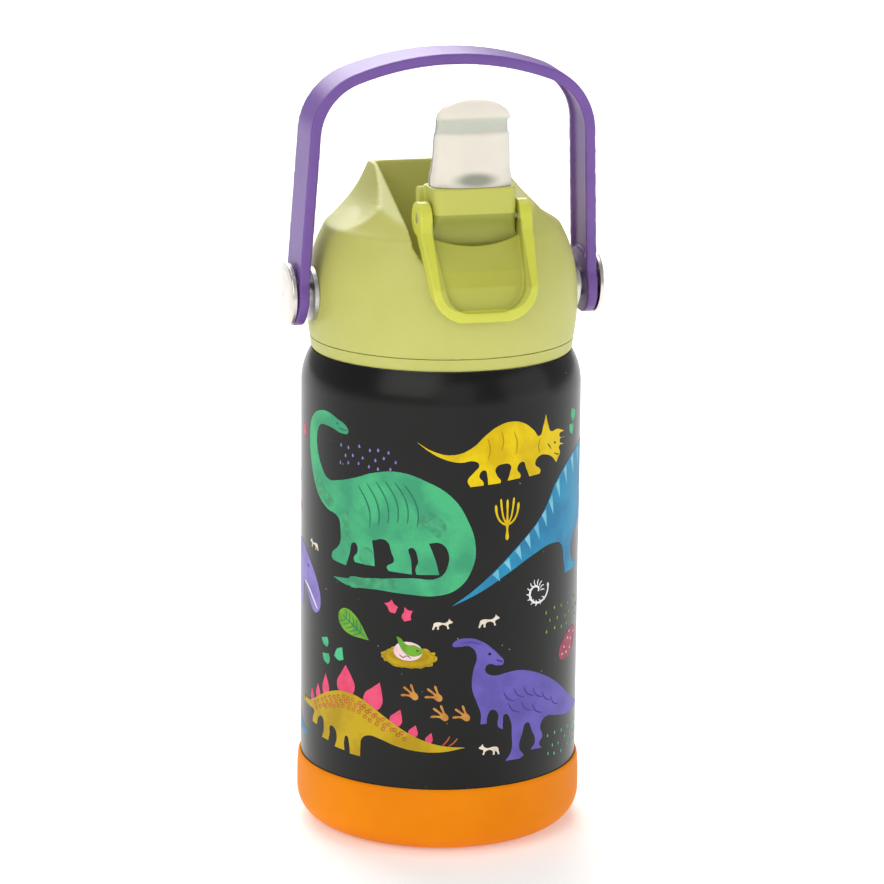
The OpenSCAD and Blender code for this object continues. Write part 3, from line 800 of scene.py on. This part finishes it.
wrinkles = [stroke([(1.6, 110.4), (2.4, 107.4), (1.8, 104.8)], 0.28),
            stroke([(9.0, 111.6), (10.0, 108.6), (9.6, 105.4)], 0.28),
            stroke([(5.4, 111.8), (6.0, 109.4), (5.6, 107.0)], 0.25),
            stroke([(17.6, 108.6), (17.0, 106.6), (17.6, 104.9)], 0.3)]
printed("print_horned", [("yellow", [HORNED]), ("ochre", wrinkles), ("black", marks)])

PLANT = [stroke([(0, 0), (0, 2.6), (0, 4.6)], 0.5, 0.9)]
for branch, width, tip in [
    ([(0, 4.0), (1.5, 4.6), (2.8, 6.4), (3.3, 9.4)], 0.5, 0.6),
    ([(0, 4.2), (0.9, 5.4), (1.5, 7.6), (1.9, 10.9)], 0.46, 0.5),
]:
    PLANT += [stroke([(side * s, z) for s, z in branch], width, tip) for side in (-1, 1)]
PLANT.append(stroke([(0, 4.2), (0, 7.2), (0, 10.6)], 0.5, 0.5))
printed("print_plant", [("yellow", moved(PLANT, 7.4, 83.4))])

# %% [markdown]
# ### The two-legged runner
# Its long tail starts near the front and its body runs on round the side of the bottle. Pale wedges
# stripe the tail and the back.

# %% Runner
RUNNER = [
    (-7.2, 66.8, 1), (-1.5, 70.9), (5.0, 76.3), (11.0, 81.6), (16.5, 86.2), (20.5, 90.6),
    (24.0, 95.6), (29.5, 99.8), (37.0, 102.6), (46.0, 103.6), (53.0, 102.4), (58.5, 103.0),
    (63.0, 106.4), (68.0, 109.6), (74.0, 109.4), (79.6, 106.4), (80.2, 104.2, 1), (74.0, 103.2),
    (78.8, 101.2, 1), (72.4, 99.6), (67.0, 99.6), (63.0, 95.6), (61.0, 91.0), (63.4, 88.6),
    (63.0, 86.4, 1), (59.4, 88.2), (57.0, 90.4), (52.6, 86.4), (49.0, 83.6), (50.2, 77.4),
    (54.6, 72.8), (55.0, 70.8, 1), (48.0, 71.0, 1), (45.8, 78.0), (43.2, 82.4), (38.4, 81.6),
    (34.6, 79.4), (33.2, 75.6), (34.8, 72.6), (38.0, 71.6), (37.8, 70.4, 1), (29.6, 70.6, 1),
    (28.6, 75.0), (27.4, 78.8), (23.0, 80.0), (16.0, 78.4), (8.0, 74.6), (0.5, 70.4),
]
wedges = [[(s, z, 1), (s + 1.5, z + 1.3, 1), (s + 2.1, z - deep * 0.9, 1)] for s, z, deep in [
    (3.4, 74.6, 2.2), (6.6, 77.4, 2.6), (9.8, 80.2, 3.0), (12.8, 82.9, 3.4), (15.8, 85.4, 3.8),
    (18.6, 88.3, 4.0), (21.2, 91.6, 4.4), (24.2, 95.4, 4.6), (28.0, 98.4, 4.8), (32.4, 100.6, 5.0)]]
wedges += [[(s, z, 1), (s + 1.8, z, 1), (s + 1.2, z - 5.4, 1)] for s, z in [
    (37.4, 102.3), (41.6, 102.9), (46.0, 103.2), (50.4, 102.4), (54.8, 102.2)]]
dashes = [stroke([(40, 92), (44, 88.4), (45.6, 84.2)], 0.5),
          stroke([(72.0, 101.6), (76.0, 102.3), (79.0, 102.8)], 0.4)]
printed("print_runner", [("blue", [RUNNER]), ("pale_blue", wedges + dashes),
                         ("black", [oval(72.6, 106.6, 1.1, 0.9)])])

# %% [markdown]
# ### The crested dinosaur

# %% Crested
CRESTED = [
    (-6.9, 56.3), (-6.3, 57.5), (-2.6, 58.2), (1.0, 57.0), (3.6, 55.0), (5.9, 52.7), (7.0, 51.2),
    (6.5, 50.3, 1), (4.8, 50.4), (2.6, 50.9), (1.7, 49.6), (2.4, 48.4), (4.6, 47.7), (8.0, 48.1),
    (11.6, 48.2), (15.4, 47.3), (20.0, 45.4), (26.0, 42.0), (32.0, 37.8), (38.0, 34.4), (44.0, 32.2, 1),
    (37.0, 31.6), (30.4, 32.0), (25.2, 33.2), (21.0, 33.6), (19.2, 31.4), (20.2, 28.8), (18.9, 26.9),
    (20.0, 25.6, 1), (15.8, 25.9, 1), (17.4, 27.9), (16.3, 30.8), (14.4, 33.6), (12.9, 30.8),
    (12.0, 27.2), (13.6, 24.9, 1), (12.2, 24.2, 1), (7.8, 24.3, 1), (9.5, 26.6), (9.6, 31.0),
    (9.1, 35.2), (7.5, 37.0), (6.9, 34.9), (6.9, 33.0, 1), (5.5, 33.9), (5.4, 37.5), (3.6, 38.6),
    (2.6, 37.3), (2.3, 35.0, 1), (0.6, 35.0, 1), (0.7, 37.7), (-0.3, 40.6), (-1.7, 44.6),
    (-1.5, 49.4), (-0.6, 53.4), (-2.4, 56.0), (-5.4, 56.0),
]
bands = [stroke([(s, z), (s + 1.2, z - 2.0), (s + 3.6, z - 3.0)], 0.4) for s, z in [
    (7.0, 43.0), (10.0, 43.6), (13.2, 43.4), (16.4, 42.4), (19.8, 40.8), (23.4, 38.8), (8.4, 39.8),
    (12.4, 39.6), (16.2, 38.2)]]
crest_line = stroke([(-4.6, 56.9), (-2.2, 57.1), (0.8, 56.2)], 0.25)
crested_face = [oval(2.9, 53.6, 0.8, 0.7), stroke([(6.6, 51.2), (5.6, 51.5), (4.8, 51.9)], 0.25)]
printed("print_crested", [("purple", [CRESTED]), ("deep_purple", bands + [crest_line]),
                          ("black", crested_face)])

# %% [markdown]
# ### The plated dinosaur
# Gold, with pink kite-shaped plates along its back and two or three rows of small rust rings.

# %% Plated
PLATED = [
    (-59.0, 34.4), (-57.0, 34.9), (-53.2, 34.9), (-49.0, 36.8), (-43.5, 39.6), (-38.0, 41.1),
    (-32.6, 40.7), (-27.4, 38.2), (-22.0, 34.9), (-16.4, 31.8), (-10.0, 29.7), (-3.4, 29.0, 1),
    (-9.5, 27.9), (-16.0, 28.0), (-21.5, 29.0), (-26.0, 30.4), (-29.2, 30.8), (-31.2, 29.6),
    (-31.6, 27.2), (-31.7, 24.7, 1), (-35.0, 24.8, 1), (-35.3, 27.6), (-36.2, 29.4), (-37.0, 27.8),
    (-36.9, 25.3, 1), (-40.5, 25.5, 1), (-39.7, 28.2), (-40.8, 30.6), (-42.4, 30.6), (-42.6, 28.6),
    (-43.2, 26.5, 1), (-46.0, 26.7, 1), (-45.2, 29.2), (-46.0, 32.2), (-47.8, 31.6), (-48.6, 29.4, 1),
    (-51.2, 29.5, 1), (-50.8, 31.4), (-50.2, 32.6), (-53.0, 33.2), (-55.8, 33.5), (-58.6, 33.8),
]


def plate(s, z, tall, wide, lean):
    kite = [(-0.32 * wide, 0), (-0.5 * wide, 0.34 * tall), (-0.28 * wide, 0.66 * tall), (0, tall, 1),
            (0.34 * wide, 0.62 * tall), (0.5 * wide, 0.3 * tall), (0.3 * wide, 0)]
    return moved([kite], s, z, turn=lean)[0]


plates = [plate(-51.4, 35.6, 3.2, 1.9, 4), plate(-48.0, 37.0, 3.8, 2.2, 2),
          plate(-44.4, 38.8, 5.6, 3.0, 0), plate(-36.6, 40.6, 7.8, 6.2, 0),
          plate(-28.8, 38.4, 7.6, 5.6, -22), plate(-22.0, 34.6, 4.6, 3.4, -22),
          plate(-17.2, 31.9, 3.2, 2.5, -18), plate(-13.0, 30.4, 2.8, 1.9, -18)]
random.seed(4)
BACK_LINE = PLATED[2:11]
rings = []
for k in range(18):
    s = -49.6 + 1.75 * k
    (s0, z0), (s1, z1) = next((a, b) for a, b in zip(BACK_LINE, BACK_LINE[1:]) if a[0] <= s <= b[0])
    top = z0 + (z1 - z0) * (s - s0) / (s1 - s0)
    for row in range(3 if -45 < s < -24 else 2):
        a = s + 0.8 * (row % 2) + random.uniform(-0.2, 0.2)
        b = top - 1.3 - 1.25 * row + random.uniform(-0.15, 0.15)
        turns = [0.2 + 0.62 * n for n in range(10)]
        ring = [(a + 0.5 * math.cos(t), b + 0.42 * math.sin(t)) for t in turns]
        rings.append(stroke(ring, 0.28, 0.8))
spikes = [stroke([(-9.4, 29.6), (-8.2, 30.8), (-7.4, 32.2)], 0.4),
          stroke([(-7.8, 29.4), (-6.4, 30.4), (-5.4, 31.6)], 0.4)]
eye = [oval(-56.8, 34.6, 0.7, 0.6)]
printed("print_plated", [("pink", plates), ("gold", [PLATED]), ("rust", rings + spikes),
                         ("black", eye)])

# %% [markdown]
# ### The hunter
# A lilac hunter fills the left side. Only its snout, with a row of teeth, comes round to the front.

# %% Hunter
HUNTER = [
    (-48.0, 60.2), (-46.9, 63.0), (-48.6, 68.0), (-52.6, 72.4), (-57.6, 75.4), (-63.0, 76.8),
    (-69.0, 75.0), (-75.0, 75.8), (-82.0, 74.0), (-89.0, 69.4), (-96.0, 62.0), (-103.0, 56.4, 1),
    (-95.0, 56.8), (-88.6, 59.0), (-84.6, 57.4), (-82.8, 52.4), (-86.0, 47.6), (-85.6, 46.0, 1),
    (-79.2, 46.2, 1), (-77.8, 52.2), (-74.8, 57.0), (-72.4, 53.2), (-74.6, 48.2), (-74.0, 46.2, 1),
    (-67.6, 46.4, 1), (-67.2, 53.0), (-66.8, 60.2), (-63.2, 63.4), (-61.2, 61.2), (-62.4, 58.8, 1),
    (-59.2, 59.4, 1), (-58.6, 63.0), (-58.2, 66.0), (-54.0, 62.6), (-50.4, 59.6),
]
teeth = [stroke([(-57.2, 66.4), (-54.0, 65.2), (-50.8, 62.8), (-48.6, 60.8)], 0.6)]
eye_and_folds = [oval(-54.4, 71.0, 1.1, 0.9), stroke([(-79, 71), (-77, 66), (-78, 62)], 0.5),
                 stroke([(-84, 69), (-82.6, 64.6), (-83.4, 61)], 0.5),
                 stroke([(-74, 72), (-72, 67), (-72.6, 63)], 0.5)]
printed("print_hunter", [("lilac", [HUNTER]), ("white", teeth), ("deep_purple", eye_and_folds)])

# %% [markdown]
# ### Small pictures
# Grazers, footprints, a nest with an egg, leaves, petals, a coiled fossil and drifts of rain fill the
# gaps. Each is drawn once, at its own origin, and copied.

# %% Small motifs
GRAZER = [(-3.0, 0.9), (-2.7, 1.9), (-1.4, 2.3), (0.8, 2.1), (1.9, 2.7), (2.2, 3.5, 1), (2.7, 2.9),
          (3.4, 2.3), (2.7, 1.9), (2.0, 1.5), (2.3, 0.1, 1), (1.7, 0.1, 1), (1.3, 1.1), (-0.9, 1.1),
          (-1.1, -0.2, 1), (-1.7, -0.2, 1), (-1.9, 0.9), (-2.3, 0.7), (-2.8, -0.3, 1), (-3.3, -0.2, 1)]
grazers = []
for s, z, size, flip in [
    (-9.6, 60.8, 0.78, False), (2.6, 61.0, 0.86, False), (3.2, 26.6, 0.86, True),
    (-50.4, 76.6, 0.7, True), (96, 58, 0.9, False), (-108, 80, 0.9, True),
]:
    grazers += moved([GRAZER], s, z, size, flip)
printed("print_grazers", [("bone", grazers)])

FOOTPRINT = [stroke([(0.6, 0.2), (-1.2, 0.5), (-3.0, 0.4)], 0.55, 0.5),
             stroke([(0.6, 0.6), (-0.8, 1.8), (-2.3, 2.9)], 0.55, 0.5),
             stroke([(0.9, 0.8), (0.4, 2.2), (-0.2, 3.8)], 0.55, 0.5),
             [(0.2, -0.4), (-0.5, 0.5), (0.5, 1.5), (1.6, 1.0), (1.9, -0.3), (1.1, -0.8)]]
tracks = []
for s, z in [(-17.4, 42.4), (-11.2, 42.2), (-9.6, 37.0), (-4.0, 36.8)]:
    tracks += moved(FOOTPRINT, s, z, 0.92)
for s, z in [(78, 62), (84, 60.4), (86, 65.4), (92, 64.6)]:
    tracks += moved(FOOTPRINT, s, z, 0.92, True)
printed("print_footprints", [("tan", tracks)])

random.seed(9)
NEST_S, NEST_Z = -18.1, 53.0
nest = []
for k in range(40):
    a = 2 * math.pi * k / 40
    r = 1 + random.uniform(-0.05, 0.08)
    nest.append((NEST_S + 7.2 * r * math.cos(a), NEST_Z + 2.9 * r * math.sin(a)))
straws = []
for a in [0.42 * k for k in range(15)]:
    bends = [(a, 6.2, 2.2), (a + 0.2, 6.9, 2.7), (a + 0.4, 6.3, 2.3)]
    straws.append(stroke([(NEST_S + wide * math.cos(t), NEST_Z - 0.1 + tall * math.sin(t))
                          for t, wide, tall in bends], 0.35))
hatchling = [(-21.4, 58.4, 1), (-20.6, 56.0), (-18.8, 53.8), (-15.6, 53.6), (-14.6, 54.8),
             (-16.4, 56.2), (-18.8, 56.4), (-20.4, 58.0)]
crack = stroke([(-20.6, 53.6), (-19.6, 52.9), (-18.6, 53.4), (-17.6, 52.7)], 0.22)
printed("print_nest", [("gold", [nest]), ("ochre", straws + [oval(NEST_S, 53.4, 10.4, 3.2)]),
                       ("blush", [oval(-18.4, 54.6, 7.6, 5.0)]), ("leaf", [hatchling]),
                       ("black", [oval(-15.9, 54.9, 0.5, 0.45), crack])])

LEAF = [(0, 0, 1), (-1.0, 1.9), (-2.2, 4.4), (-2.6, 7.0), (-1.5, 9.3), (0.4, 9.9), (2.0, 8.8),
        (2.5, 6.4), (1.8, 3.6), (0.8, 1.6)]
leaf_veins = [stroke([(0, 0.6), (0.1, 4.8), (0, 9.0)], 0.28)]
for z in (2.6, 3.8, 5.0, 6.2, 7.4):
    for side in (-1, 1):
        leaf_veins.append(stroke([(0, z), (side * 0.9, z + 0.5), (side * 1.8, z + 1.3)], 0.2))
places = [(-29.2, 56.3, 1.15, 58), (47, 58, 1.0, -30), (-104, 92, 1.0, 20), (96, 103, 1.0, 40)]
printed("print_leaves", [("leaf", scattered([LEAF], places)),
                         ("deep_green", scattered(leaf_veins, places))])

SPRIG = [[(0, 0, 1), (-1.3, 1.4), (-1.3, 3.0, 1), (0.1, 2.7), (1.2, 2.5, 1), (1.1, 1.0)]]
mints = [(-43.8, 51.6, 1.0, 25), (-40.8, 50.0, 1.25, -70), (-43.4, 47.0, 1.1, 20),
         (33.2, 110.2, 1.2, -12), (32.9, 106.8, 1.1, 8),
         (60, 62, 1.2, 10), (63, 58.6, 1.1, 80), (-70, 96, 1.2, 30), (-66, 92.6, 1.1, 100)]
printed("print_mint_leaves", [("mint", scattered(SPRIG, mints))])
petals = [(-21.8, 64.4, 1.1, 28), (-19.4, 62.4, 1.1, -24), (-57.4, 105.0, 1.0, 0), (68, 88, 1.1, 30),
          (72, 85.6, 1.1, -30), (-62, 84, 1.0, 60)]
PETAL = [[(0, 0, 1), (-1.1, 0.9), (-1.0, 2.1, 1), (-1.4, 3.2, 1), (-0.1, 3.0), (0.7, 3.3, 1),
          (0.8, 2.0), (1.3, 1.1, 1)]]
printed("print_petals", [("pink", scattered(PETAL, petals))])

egg_spots = [oval(s, z, 0.7, 0.5, 30) for s, z in [
    (30, 50.5), (32.4, 52.4), (34.8, 51.6), (31.4, 48.8),
    (34.0, 49.4), (37.0, 53.0), (33.2, 54.0), (29.0, 48.8)]]
printed("print_egg", [("plum", [oval(33.0, 51.0, 12.4, 6.6, 24)]), ("blush", egg_spots)])

COIL_S, COIL_Z = 17.2, 68.3
coil = []
for t in [0.35 * k for k in range(20)]:
    r = 0.5 + 0.6 * t
    coil.append((COIL_S + r * math.cos(t), COIL_Z + r * 0.92 * math.sin(t)))
spokes = []
for k in range(13):
    t, r = 0.46 * k, 1.3 + 0.1 * k
    bends = [(t, r), (t + 0.1, r + 0.8), (t, r + 1.6)]
    spokes.append(stroke([(COIL_S + out * math.cos(a), COIL_Z + out * math.sin(a))
                          for a, out in bends], 0.3))
printed("print_fossil", [("white", [stroke(coil, 0.55, 0.7)] + spokes)])

DROP = [[(0, 0.55, 1), (-0.26, 0.0), (0, -0.3), (0.26, 0.0)]]
random.seed(7)
for title, colour, s0, s1, z0, z1 in [
    ("lilac", "lilac", -38.5, -20.5, 101.6, 108.2),
    ("yellow_green", "leaf", 21.0, 42.0, 56.0, 64.0),
    ("mint", "mint", 22.5, 44.0, 22.0, 30.0),
    ("far", "pale_blue", -112.0, -90.0, 62.0, 74.0),
]:
    drops = []
    for i in range(6):
        for j in range(3):
            s = s0 + (i + 0.5 * (j % 2) + random.uniform(-0.15, 0.15)) * (s1 - s0) / 6
            z = z0 + (j + random.uniform(0, 0.45)) * (z1 - z0) / 3
            drops += moved(DROP, s, z, 1.15)
    printed("print_rain_" + title, [(colour, drops)])

# %% [markdown]
# ### The far side
# The back is printed like the front. It has a gliding reptile, a second plated dinosaur and a second
# horned one, drawn the other way round, with plants between them.

# %% Far side
GLIDER = [(0, 0), (-3.0, 1.8), (-8.0, 2.4), (-14.0, 6.4, 1), (-10.4, 0.4), (-6.0, -2.4),
          (-2.4, -3.0), (-1.6, -6.4, 1), (0.2, -3.2), (3.0, -2.6), (7.4, -0.4), (11.0, 4.8, 1),
          (8.6, 4.2), (4.4, 2.6), (3.4, 3.6), (6.4, 5.8, 1), (3.2, 6.4), (0.6, 8.8, 1), (1.0, 5.4),
          (1.2, 2.4)]
copied("print_glider", [("coral", [GLIDER]), ("black", [oval(2.4, 5.2, 0.6, 0.5)])], -90, 100, 1.1)
copied("print_far_plated", [("yellow", plates), ("coral", [PLATED]), ("rust", rings + spikes),
                            ("black", eye)], 52, 0, 1, True)
copied("print_far_horned", [("mint", [HORNED]), ("deep_green", wrinkles), ("black", marks)],
       104, -22, 1, True)
copied("print_far_crested", [("blue", [CRESTED]), ("deep_purple", bands),
                             ("black", [oval(4.9, 52.4, 0.8, 0.7)])], -94, -4, 0.9)
far_plants = moved(PLANT, -74, 82) + moved(PLANT, 112, 96) + moved(PLANT, -66, 20.4, 0.9)
printed("print_far_plants", [("yellow", far_plants)])

# %% [markdown]
# ## The floor
# A pale floor that runs far back. It isn't part of the bottle.

# %% Floor and world
calm()
bpy.ops.mesh.primitive_plane_add(size=60, location=(0, 0, -0.0002))
floor = bpy.context.object
floor.name = "floor"
paper, tree, place = new_finish("pale_paper")
shader(tree, [("Base Color", two_tones(tree, place, "#f7f7f6", "#f4f4f3", 400))], Roughness=0.85,
       Emission_Color=(1, 1, 1, 1), Emission_Strength=0.25)
floor.data.materials.append(paper)
world = bpy.data.worlds.new("studio")
world.use_nodes = True
world.node_tree.nodes["Background"].inputs["Color"].default_value = (1, 1, 1, 1)
world.node_tree.nodes["Background"].inputs["Strength"].default_value = 0.36
bpy.context.scene.world = world
